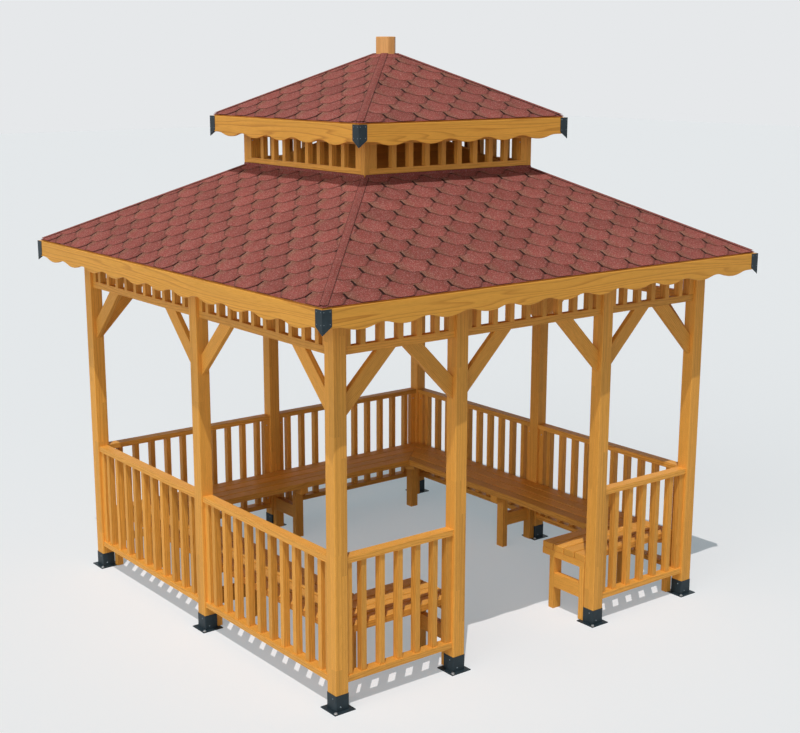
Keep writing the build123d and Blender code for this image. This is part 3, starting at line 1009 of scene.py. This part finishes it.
@dataclass
class Deck:
    """Tongued boards laid along a slope, with the small V joints that show from inside."""

    slope: Slope
    thickness: float
    below: float = 0.0                    # from the slope's surface down to the boards
    board: float = 0.096
    joint: float = 0.0006
    ease: float = 0.003                   # half the V of a joint

    def build(self, node: str, sides: Sequence[Side], seed: int) -> None:
        """Lays the boards as one piece.

        Args:
            node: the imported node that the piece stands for.
            sides: the sides to board.
            seed: of its random sequence.
        """
        rows = max(1, round(self.slope.length / self.board))
        step = self.slope.length / rows
        timber = Timber(node + "_boards", DECKING, seed=seed, ease=self.ease)
        lower = Matrix.Translation((0, 0, -self.thickness - self.below))
        for side in sides:
            for row in range(rows):
                a, b = row * step + self.joint / 2, (row + 1) * step - self.joint / 2
                wide, narrow = self.slope.half_width(a), self.slope.half_width(b)
                outline = [(-wide, a), (wide, a), (narrow, b), (-narrow, b)]
                timber.prism(outline, self.thickness, side.matrix @ self.slope.matrix @ lower)
        timber.finish_piece(node)


@dataclass
class Roof:
    """Boarded deck under courses of hexagonal tabs, for one tier."""

    name: str
    slope: Slope
    seed: int
    cap_nodes: tuple[str, ...] = ()
    upstand: float = 0.0                  # of the felt against the curb, where there is one
    upstand_thickness: float = 0.003
    deck: float = 0.021                   # thickness of the boards
    deck_below: float = 0.0015            # from the slope's surface down to them
    felt: Point = (-0.0013, 0.0004)       # lower and upper face of the starter felt
    phase: float = -0.013                 # where the middle tab of the first course stands
    pitch: float = 0.2405
    exposure: float = 0.1038
    rest: float = 0.0003                  # of the tabs over the slope's surface
    tab_height: float = 0.212
    tab_thickness: float = 0.0022
    lift: float = 0.0028                  # of a tab's lower edge, which lies on the course below
    slot: float = 0.019
    slot_top: float = 0.094               # the slots close just below the next course
    slot_round: Point = (0.002, 0.003)    # the turn at a slot's closed end
    chin: float = 0.058                   # half the flat lower edge of a tab
    chin_turn: Point = (0.022, 0.0125)    # from the chin's end to the slanted corner
    shoulder: float = 0.044               # height where a tab reaches its full width
    shoulder_cut: float = 0.014           # the bevel just below it
    overhang: float = 0.006               # of the shingles over the fascia's top edge
    cap_half: float = 0.025               # of the strip over a hip, in plan
    cap_tuck: float = 0.007               # how far the tabs run under it
    cap_thickness: float = 0.0085
    cap_shadow_line: float = 0.005               # width of its dark edge on top, a painted shadow line beside the hip
    plain_spot: Triple = (0.1, 0.3, 0.0)  # near a tab's middle, for what has no tabs

    def boards(self) -> None:
        """The deck under the shingles, one piece for each pair of slopes."""
        for pair, end in (((Side.FRONT, Side.BACK), "front_back"), ((Side.LEFT, Side.RIGHT), "sides")):
            node = self.name + "_slopes_" + end
            Deck(self.slope, self.deck, self.deck_below).build(node, pair, self.seed + len(node))

    def tab(self) -> Mesh:
        """One shingle tab, with its own coordinates and its cut edges written on it.

        Returns:
            The tab's mesh, its lower edge at Y = 0.
        """
        half, shaft = self.pitch / 2, self.pitch / 2 - self.slot / 2
        flank = [(self.chin, 0.0), (self.chin + self.chin_turn[0], self.chin_turn[1]),
                 (shaft - self.shoulder_cut, self.shoulder - self.shoulder_cut), (shaft, self.shoulder),
                 (shaft + self.slot_round[0], self.slot_top - self.slot_round[1]), (half, self.slot_top),
                 (half, self.tab_height)]
        outline = flank + [(-x, y) for x, y in flank[::-1]]
        tilt = self.lift / self.tab_height
        mesh = bmesh.new()
        spot, cut = mesh.verts.layers.float_vector.new("spot"), mesh.verts.layers.float.new("cut")

        def ring(drop: float, dark: float) -> list[BMVert]:
            """The outline at one level, each corner with its place on the tab.

            Args:
                drop: how far under the tab's face.
                dark: share of cut edge.

            Returns:
                The corners.
            """
            corners = []
            for x, y in outline:
                corners.append(mesh.verts.new((x, y, self.lift - y * tilt + self.tab_thickness - drop)))
                corners[-1][spot], corners[-1][cut] = (x / half, y / self.tab_height, 0.0), dark
            return corners

        face, top, foot = ring(0.0, 0.0), ring(0.0, 1.0), ring(self.tab_thickness, 1.0)
        mesh.faces.new(face)
        mesh.faces.new(foot[::-1])
        wrap(mesh, foot, top)
        return to_mesh(mesh, self.name + "_tab")

    def courses_tree(self) -> NodeTree:
        """Lays one tab in staggered courses, with a seeded tone for each tab.

        Returns:
            The geometry tree.
        """
        tree, add, given = start_tree(self.name + "_courses",
                                      {"Columns": "Int", "Courses": "Int", "Pitch": "Float",
                                       "Exposure": "Float", "Seed": "Int"})
        spans, counts = [], []
        for number, step in (("Columns", "Pitch"), ("Courses", "Exposure")):
            spans.append(add("ShaderNodeMath", [given[number], given[step]], operation="MULTIPLY"))
            counts.append(add("ShaderNodeMath", [given[number], 1.0], operation="ADD"))
        grid = add("GeometryNodeMeshGrid", [*spans, *counts])
        # every other course is shifted by half a tab, and the first one lies at Y = 0
        parts = add("ShaderNodeSeparateXYZ", [add("GeometryNodeInputPosition")]).outputs
        half = add("ShaderNodeMath", [spans[1], 0.5], operation="MULTIPLY")
        raised = add("ShaderNodeMath", [parts["Y"], half], operation="ADD")
        course = add("ShaderNodeMath", [raised, given["Exposure"]], operation="DIVIDE")
        whole = add("ShaderNodeMath", [course], operation="ROUND")
        odd = add("ShaderNodeMath", [whole, 2.0], operation="FLOORED_MODULO")
        shift = add("ShaderNodeMath", [odd, given["Pitch"]], operation="MULTIPLY")
        shift = add("ShaderNodeMath", [shift, 0.5], operation="MULTIPLY")
        offset = add("ShaderNodeCombineXYZ", [shift, half])
        laid = add("GeometryNodeSetPosition", {"Geometry": grid, "Offset": offset})
        tabs = add("GeometryNodeInstanceOnPoints", {"Points": laid, "Instance": given["Geometry"]})
        chance = add("FunctionNodeRandomValue", {"Seed": given["Seed"]}, data_type="FLOAT")
        toned = add("GeometryNodeStoreNamedAttribute", {"Geometry": tabs, "Name": "tone", "Value": chance},
                    data_type="FLOAT", domain="INSTANCE")
        end_tree(add, toned, given["Finish"])
        return tree

    def courses(self) -> None:
        """Lays the tabs on all four slopes, trims them, and adds the felt and the strips over the hips."""
        tree = self.courses_tree()
        values = {"Columns": 2 * math.ceil(self.slope.eave_r / self.pitch) + 2,
                  "Courses": math.ceil(self.slope.length / self.exposure), "Pitch": self.pitch,
                  "Exposure": self.exposure, "Finish": SHINGLE.material()}
        whole = bmesh.new()
        for number, side in enumerate(Side):
            carrier = bpy.data.objects.new(self.name + "_carrier", self.tab())
            mesh = run_tree(carrier, tree, values | {"Seed": self.seed + number})
            sheet = bmesh.new()
            sheet.from_mesh(mesh)
            bmesh.ops.translate(sheet, verts=sheet.verts, vec=(self.phase, -self.overhang, self.rest))
            self.trim(sheet)
            self.starter(sheet)
            bmesh.ops.transform(sheet, matrix=side.matrix @ self.slope.matrix, verts=sheet.verts)
            sheet.to_mesh(mesh)
            sheet.free()
            whole.from_mesh(mesh)
            bpy.data.meshes.remove(mesh)
        self.caps(whole)
        name = self.name + "_shingles"
        place_piece(name, to_mesh(whole, name), SHINGLE, *self.cap_nodes)

    def trim(self, sheet: BMesh) -> None:
        """Cuts a laid sheet to the slope's outline.

        Args:
            sheet: the tabs of one slope, in slope coordinates.
        """
        hip = Vector((self.slope.stretch, 1.0, 0.0)).normalized()
        edge = self.slope.eave_r - (self.cap_half - self.cap_tuck) * math.sqrt(2)
        planes = [((edge, 0, 0), hip), ((-edge, 0, 0), Vector((-hip.x, hip.y, 0))),
                  ((0, self.slope.length, 0), Vector((0, 1, 0)))]
        for point, normal in planes:
            geometry = sheet.verts[:] + sheet.edges[:] + sheet.faces[:]
            done = bmesh.ops.bisect_plane(sheet, geom=geometry, plane_co=point, plane_no=normal,
                                          clear_outer=True)
            self.close(sheet, [e for e in done["geom_cut"] if isinstance(e, BMEdge)], normal)

    @staticmethod
    def close(sheet: BMesh, cut: Sequence[BMEdge], outward: Vector) -> None:
        """Closes the section of every trimmed tab.

        Args:
            sheet: the laid sheet, just trimmed by a plane.
            cut: its new edges on that plane; along a tab's underside and flanks they form one open chain.
            outward: the plane's normal, out of the sheet.
        """
        arms: dict[BMVert, list[BMEdge]] = {}
        for edge in cut:
            for vertex in edge.verts:
                arms.setdefault(vertex, []).append(edge)
        done: set[BMVert] = set()
        for start in [v for v, edges in arms.items() if len(edges) == 1]:
            chain, edge = [start], arms[start][0]
            while start not in done:
                chain.append(edge.other_vert(chain[-1]))
                following = [e for e in arms[chain[-1]] if e is not edge]
                if len(following) != 1:
                    break
                edge = following[0]
            done.update(chain)
            if len(chain) > 2:
                face = sheet.faces.new(chain)
                face.normal_update()
                if face.normal.dot(outward) < 0:
                    face.normal_flip()

    def starter(self, sheet: BMesh) -> None:
        """Adds the starter felt under the tabs, and its upstand where a slope ends at the lantern's curb.

        Args:
            sheet: the tabs of one slope, in slope coordinates.
        """
        a, b, (under, over) = -self.overhang, self.slope.length, self.felt
        bare = self.shoulder - self.overhang          # the tabs' lower corners leave the felt bare up to here
        slabs = [((c, under), (d, under), (d, over), (c, over)) for c, d in ((a, bare), (bare, b))]
        if self.upstand:
            up = Vector((self.slope.rise, 1.0)).normalized()     # the curb's upright, in (Y, Z) of the slope
            foot = Vector((b, 0.0))
            head, out = foot + up * self.upstand, Vector((-up.y, up.x)) * self.upstand_thickness
            slabs.append((foot + out, foot, head, head + out))
        for number, section in enumerate(slabs):
            rings = [[sheet.verts.new((way * self.slope.half_width(y), y, z)) for y, z in section]
                     for way in (-1, 1)]
            # the felt above the tabs' corners shows only through the first course's slots, and is painted
            # dark there as painted shade for the slots
            for vertex in rings[0] + rings[1]:
                self.mark(sheet, vertex, 1.0 if number == 1 else 0.0)
            sheet.faces.new(rings[0][::-1])
            sheet.faces.new(rings[1])
            wrap(sheet, *rings)

    def mark(self, mesh: BMesh, vertex: BMVert, dark: float) -> None:
        """Writes a place near a tab's middle and the share of cut edge on a corner."""
        vertex[mesh.verts.layers.float_vector["spot"]] = self.plain_spot
        vertex[mesh.verts.layers.float["cut"]] = dark

    def caps(self, mesh: BMesh) -> None:
        """Adds the folded strip over each hip, with darker cut edges that run on over its top as painted
        shadow lines.

        Args:
            mesh: the shingles of the whole tier, in place.
        """
        top_r, eave_r = self.slope.top_r, self.slope.eave_r
        # the dark cut edges run on over the top as painted shadow lines along the hip
        profile = [(self.cap_half, 0.0, 1.0), (self.cap_half, self.cap_thickness, 1.0),
                   (self.cap_half - self.cap_shadow_line, self.cap_thickness, 0.0), (0.0, self.cap_thickness, 0.0)]
        for quarter in range(4):
            rings = []
            for r in (eave_r, top_r):
                level = self.slope.eave_z + (eave_r - r) * self.slope.rise
                ring = [(Vector((r - d * math.sqrt(2), -r, level + z)), edge) for d, z, edge in profile]
                ring += [(Vector((-p.y, -p.x, p.z)), edge) for p, edge in ring[-2::-1]]
                rings.append([mesh.verts.new(turn(90 * quarter) @ p) for p, _ in ring])
                for vertex, (_, edge) in zip(rings[-1], ring):
                    self.mark(mesh, vertex, edge)
            low, high = rings
            wrap(mesh, low, high)
            mesh.faces.new(low[::-1])
            mesh.faces.new(high)


def to_mesh(shape: BMesh, name: str) -> Mesh:
    """Turns a finished shape, which is freed, into a named mesh.

    Args:
        shape: the shape in mesh code.
        name: the mesh's name.

    Returns:
        The mesh.
    """
    data = bpy.data.meshes.new(name)
    shape.to_mesh(data)
    shape.free()
    return data


# ---------------------------------------------------------------- steel and fasteners
class Head(Enum):
    """Kinds of fastener head, by number of sides and width at the top as a part of the width at the foot."""

    PAN = (14, 0.62)
    HEX = (6, 0.94)


@dataclass
class Fasteners:
    """Screw and bolt heads of one kind, set by a node tree on their own points."""

    name: str
    head: Head
    radius: float
    height: float
    finish: Finish

    def tree(self) -> NodeTree:
        """Sets a head on every input point, facing its stored direction.

        Returns:
            The geometry tree.
        """
        sides, crown = self.head.value
        tree, add, given = start_tree(self.name + "_heads", {"Radius": "Float", "Height": "Float"})
        top = add("ShaderNodeMath", [given["Radius"], crown], operation="MULTIPLY")
        head = add("GeometryNodeMeshCone",
                   {"Vertices": sides, "Radius Bottom": given["Radius"], "Radius Top": top,
                    "Depth": given["Height"]})
        way = add("GeometryNodeInputNamedAttribute", {"Name": "facing"}, data_type="FLOAT_VECTOR")
        aim = add("FunctionNodeAlignRotationToVector", {"Vector": way}, axis="Z")
        points = add("GeometryNodeMeshToPoints", {"Mesh": given["Geometry"]})
        heads = add("GeometryNodeInstanceOnPoints", {"Points": points, "Instance": head, "Rotation": aim})
        end_tree(add, heads, given["Finish"])
        return tree

    def build(self, spots: Sequence[Spot]) -> None:
        """Sets a head at every spot.

        Args:
            spots: places and outward directions.
        """
        mesh = bpy.data.meshes.new(self.name + "_points")
        mesh.from_pydata([tuple(p) for p, _ in spots], [], [])
        facing = mesh.attributes.new("facing", "FLOAT_VECTOR", "POINT")
        facing.data.foreach_set("vector", [c for _, way in spots for c in way])
        carrier = bpy.data.objects.new(self.name + "_carrier", mesh)
        heads = run_tree(carrier, self.tree(), {"Radius": self.radius, "Height": self.height,
                                                "Finish": self.finish.material()})
        place_piece(self.name, heads, self.finish)


@dataclass
class Steelwork:
    """Shoes and corner brackets as packed, with their screws and anchor bolts."""

    plan: Plan
    sleeve_half: float = 0.0475
    sleeve_off: float = 0.014             # of a sleeve's screws from its middle
    sleeve_levels: Point = (0.080, 0.030)          # screws across and along the gazebo
    plate: float = 0.006
    hole_inset: float = 0.016
    washer: float = 0.0018                # how far a washer lifts its bolt's head
    bracket_in: Point = (0.012, 0.052)    # screws of a corner bracket, from its corner and down its leg
    bracket_down: Point = (0.014, 0.082)
    lantern_post: float = 0.094
    lantern_in: Point = (0.012, 0.064)    # screws of the small panels, behind the face and under the top
    stile_half: float = 0.0225
    stile_end: float = 0.080              # screws of a railing's stiles, from its ends

    def posts(self) -> list[Point]:
        """Finds the nine posts.

        Returns:
            Their middles in plan.
        """
        middle, entrance = self.plan.middle, self.plan.entrance_outer - self.plan.post / 2
        return [(x, y) for x in (-middle, middle) for y in (-middle, middle)] + [
            (-middle, 0.0), (middle, 0.0), (0.0, middle), (-entrance, -middle), (entrance, -middle)]

    def sleeves(self) -> list[Spot]:
        """Sets screws through both pairs of opposite sleeve walls.

        Returns:
            Their places and directions.
        """
        spots, (across, along) = [], self.sleeve_levels
        for x, y in self.posts():
            for way in (-1, 1):
                half, off = way * self.sleeve_half, way * self.sleeve_off
                spots.append((Vector((x + half, y + off, across)), Vector((way, 0, 0))))
                spots.append((Vector((x + off, y + half, along)), Vector((0, way, 0))))
        return spots

    def anchors(self, level: float) -> list[Spot]:
        """Sets two anchor bolts through each shoe's plate, on its diagonal.

        Args:
            level: where they stand.

        Returns:
            Their places and directions.
        """
        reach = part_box("post_shoes")[1].x - self.plan.middle - self.hole_inset
        return [(Vector((x + way * reach, y + way * reach, level)), Vector((0, 0, 1)))
                for x, y in self.posts() for way in (-1, 1)]

    def brackets(self) -> list[Spot]:
        """Sets small screws near the corners of both legs of every corner bracket.

        Returns:
            Their places and directions.
        """
        spots, plan = [], self.plan
        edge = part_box("lower_roof_slopes_sides")[0].z + plan.slab
        lower_top, upper_top = edge - plan.rise * (plan.eave_half - plan.eave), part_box("fascias_sides")[1].z
        for half, top in ((plan.eave_half, lower_top), (plan.upper_eave_half, upper_top)):
            insets = [half - inset for inset in self.bracket_in]
            spots += [side.spot((x, -half, top - drop), (0, -1, 0)) for side in Side
                      for x in (*insets, *(-inset for inset in insets)) for drop in self.bracket_down]
        return spots

    def stiles(self) -> list[Spot]:
        """Sets screws through the end stiles, at the lantern's corners and inside the railings.

        Returns:
            Their places and directions.
        """
        inside, behind = self.plan.lantern - self.lantern_post, self.lantern_in[0] - self.plan.lantern
        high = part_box("lantern_friezes")[1].z - self.lantern_in[1]
        spots = [side.spot((way * inside, behind, high), (-way, 0, 0)) for side in Side for way in (-1, 1)]
        low, top = (c.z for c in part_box("railing_left_front"))
        for side in Side:
            for x0, x1 in self.plan.bays(side):
                if side is Side.FRONT and x0 < 0 < x1:
                    continue
                spots += [side.spot((x, -self.plan.middle + self.stile_half, z), (0, 1, 0))
                          for x in (x0 + self.stile_half, x1 - self.stile_half)
                          for z in (low + self.stile_end, top - self.stile_end)]
        return spots

    def build(self) -> None:
        """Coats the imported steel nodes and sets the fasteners."""
        for node in ("post_shoes", "fascia_corner_brackets"):
            dress_node(node, STEEL)
        Fasteners("sleeve_screws", Head.PAN, 0.0050, 0.0025, DULL_ZINC).build(self.sleeves())
        Fasteners("bracket_screws", Head.PAN, 0.0030, 0.0015, DULL_ZINC).build(self.brackets())
        Fasteners("stile_screws", Head.PAN, 0.0048, 0.0015, ZINC).build(self.stiles())
        Fasteners("anchor_washers", Head.PAN, 0.0120, 0.0020, ZINC).build(self.anchors(self.plate))
        Fasteners("anchor_bolts", Head.HEX, 0.0085, 0.0070,
                  ZINC).build(self.anchors(self.plate + self.washer))


def dress_node(node: str, finish: Finish) -> None:
    """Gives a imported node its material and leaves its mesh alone.

    Args:
        node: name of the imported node.
        finish: what it is made of.
    """
    data = bpy.data.objects[node].data
    data.materials.clear()
    data.materials.append(finish.material())
    log.info("%s: packed mesh in %s", node, finish.name)


# ---------------------------------------------------------------- stage
@dataclass(frozen=True)
class Stage:
    """Pale floor, sky light and sun, and the camera."""

    azimuth: float = -37.40
    elevation: float = 13.01
    place: Triple = (-5.838, -7.620, 3.719)
    focal: float = 62.47
    sensor: float = 36.0
    shift: Point = (0.0196, 0.0149)
    sight: float = 200.0                  # how far the camera sees, in metres
    sun_way: Triple = (0.299, 0.322, -1.0)
    sun: float = 2.1
    sun_width: float = 0.25               # in degrees, for its sharp shadows
    tint: Triple = (1.0, 0.99, 0.97)      # of the sun and the sky
    backdrop: str = "e6e8ea"
    sky_low: float = 0.02
    sky_high: float = 2.1
    sky_from: float = 0.40                # cosine from the bright part at which the sky starts to brighten
    sky_way: Triple = (-0.92, -0.35, -0.10)
    floor_reach: float = 60.0

    def camera(self) -> None:
        """Sets the camera in front of the left corner."""
        a, e = math.radians(self.azimuth), math.radians(self.elevation)
        back = Vector((math.sin(a) * math.cos(e), -math.cos(a) * math.cos(e), math.sin(e)))
        right = Vector((math.cos(a), math.sin(a), 0.0))
        data = bpy.data.cameras.new("camera")
        data.lens, data.sensor_width, data.sensor_fit = self.focal, self.sensor, "HORIZONTAL"
        data.shift_x, data.shift_y = self.shift
        data.clip_end = self.sight
        camera = bpy.data.objects.new("camera", data)
        camera.matrix_world = frame_of(right, back.cross(right), self.place)
        bpy.context.scene.collection.objects.link(camera)
        bpy.context.scene.camera = camera

    def lights(self) -> None:
        """A high sun from the front left, and a sky that is bright low down on the left."""
        data = bpy.data.lights.new("sun", "SUN")
        data.energy, data.angle, data.color = self.sun, math.radians(self.sun_width), self.tint
        lamp = bpy.data.objects.new("sun", data)
        lamp.rotation_euler = Vector(self.sun_way).to_track_quat("-Z", "Y").to_euler()
        bpy.context.scene.collection.objects.link(lamp)
        world = bpy.data.worlds.new("sky")
        bpy.context.scene.world = world
        world.use_nodes = True
        world.node_tree.nodes.clear()
        add = partial(add_node, world.node_tree)
        way = add("ShaderNodeTexCoord").outputs["Generated"]
        side = add("ShaderNodeVectorMath", [way, Vector(self.sky_way).normalized()], operation="DOT_PRODUCT")
        level = add("ShaderNodeMapRange", [side, self.sky_from, 1.0, self.sky_low, self.sky_high])
        glow = add("ShaderNodeBackground", [(*self.tint, 1.0), level])
        plain = add("ShaderNodeBackground", [srgb(self.backdrop)])
        mix = add("ShaderNodeMixShader", [seen(add), glow, plain])
        add("ShaderNodeOutputWorld", [mix])

    def floor(self) -> None:
        """A matt pale floor that keeps the gazebo's shadow."""
        mesh, r = bpy.data.meshes.new("floor"), self.floor_reach
        mesh.from_pydata([(-r, -r, 0), (r, -r, 0), (r, r, 0), (-r, r, 0)], [], [(0, 1, 2, 3)])
        mesh.materials.append(MattFloor().material())
        floor = bpy.data.objects.new("floor", mesh)
        bpy.context.scene.collection.objects.link(floor)

    def build(self) -> None:
        """Camera, lights and floor."""
        self.camera()
        self.lights()
        self.floor()
        bpy.context.scene.view_settings.view_transform = "Standard"


def build_roofs(plan: Plan, curb: float) -> None:
    """Builds both tiers and the ceiling inside the lantern's curb.

    Args:
        plan: the shared sizes.
        curb: thickness of the curb's boards.
    """
    hub, pole = 0.060, 0.001              # how near the middle the upper slopes and the ceiling come
    ceiling_boards, upstand = 0.018, 0.022
    low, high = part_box("lower_roof_slopes_sides")[0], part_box("upper_roof_slopes_sides")[0]
    lower = Slope(plan.eave, plan.lantern, low.z + plan.slab, plan.rise)
    upper = Slope(plan.upper_eave, hub, high.z + plan.slab, plan.rise)
    for roof in (Roof("lower_roof", lower, seed=300, cap_nodes=("hip_caps",), upstand=upstand),
                 Roof("upper_roof", upper, seed=400)):
        roof.boards()
        roof.courses()
    inner = plan.lantern - curb
    ceiling = Slope(inner, pole, lower.eave_z + (lower.eave_r - inner) * lower.rise, lower.rise)
    Deck(ceiling, ceiling_boards / ceiling.stretch, plan.slab / ceiling.stretch).build(
        "lantern_ceiling", tuple(Side), 501)


def main() -> None:
    """Builds every sub-assembly in order and reports each piece."""
    logging.basicConfig(level=logging.INFO, format="%(message)s")
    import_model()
    plan = Plan.read()
    panels, benches, timbers = Panels(plan), Benches(plan), RoofTimbers()
    for build in (panels.railings, panels.friezes, panels.lantern, benches.seats, benches.frames,
                  timbers.members, timbers.squares):
        build()
    build_roofs(plan, timbers.curb)
    Steelwork(plan).build()
    Stage().build()


if __name__ == "__main__":
    main()
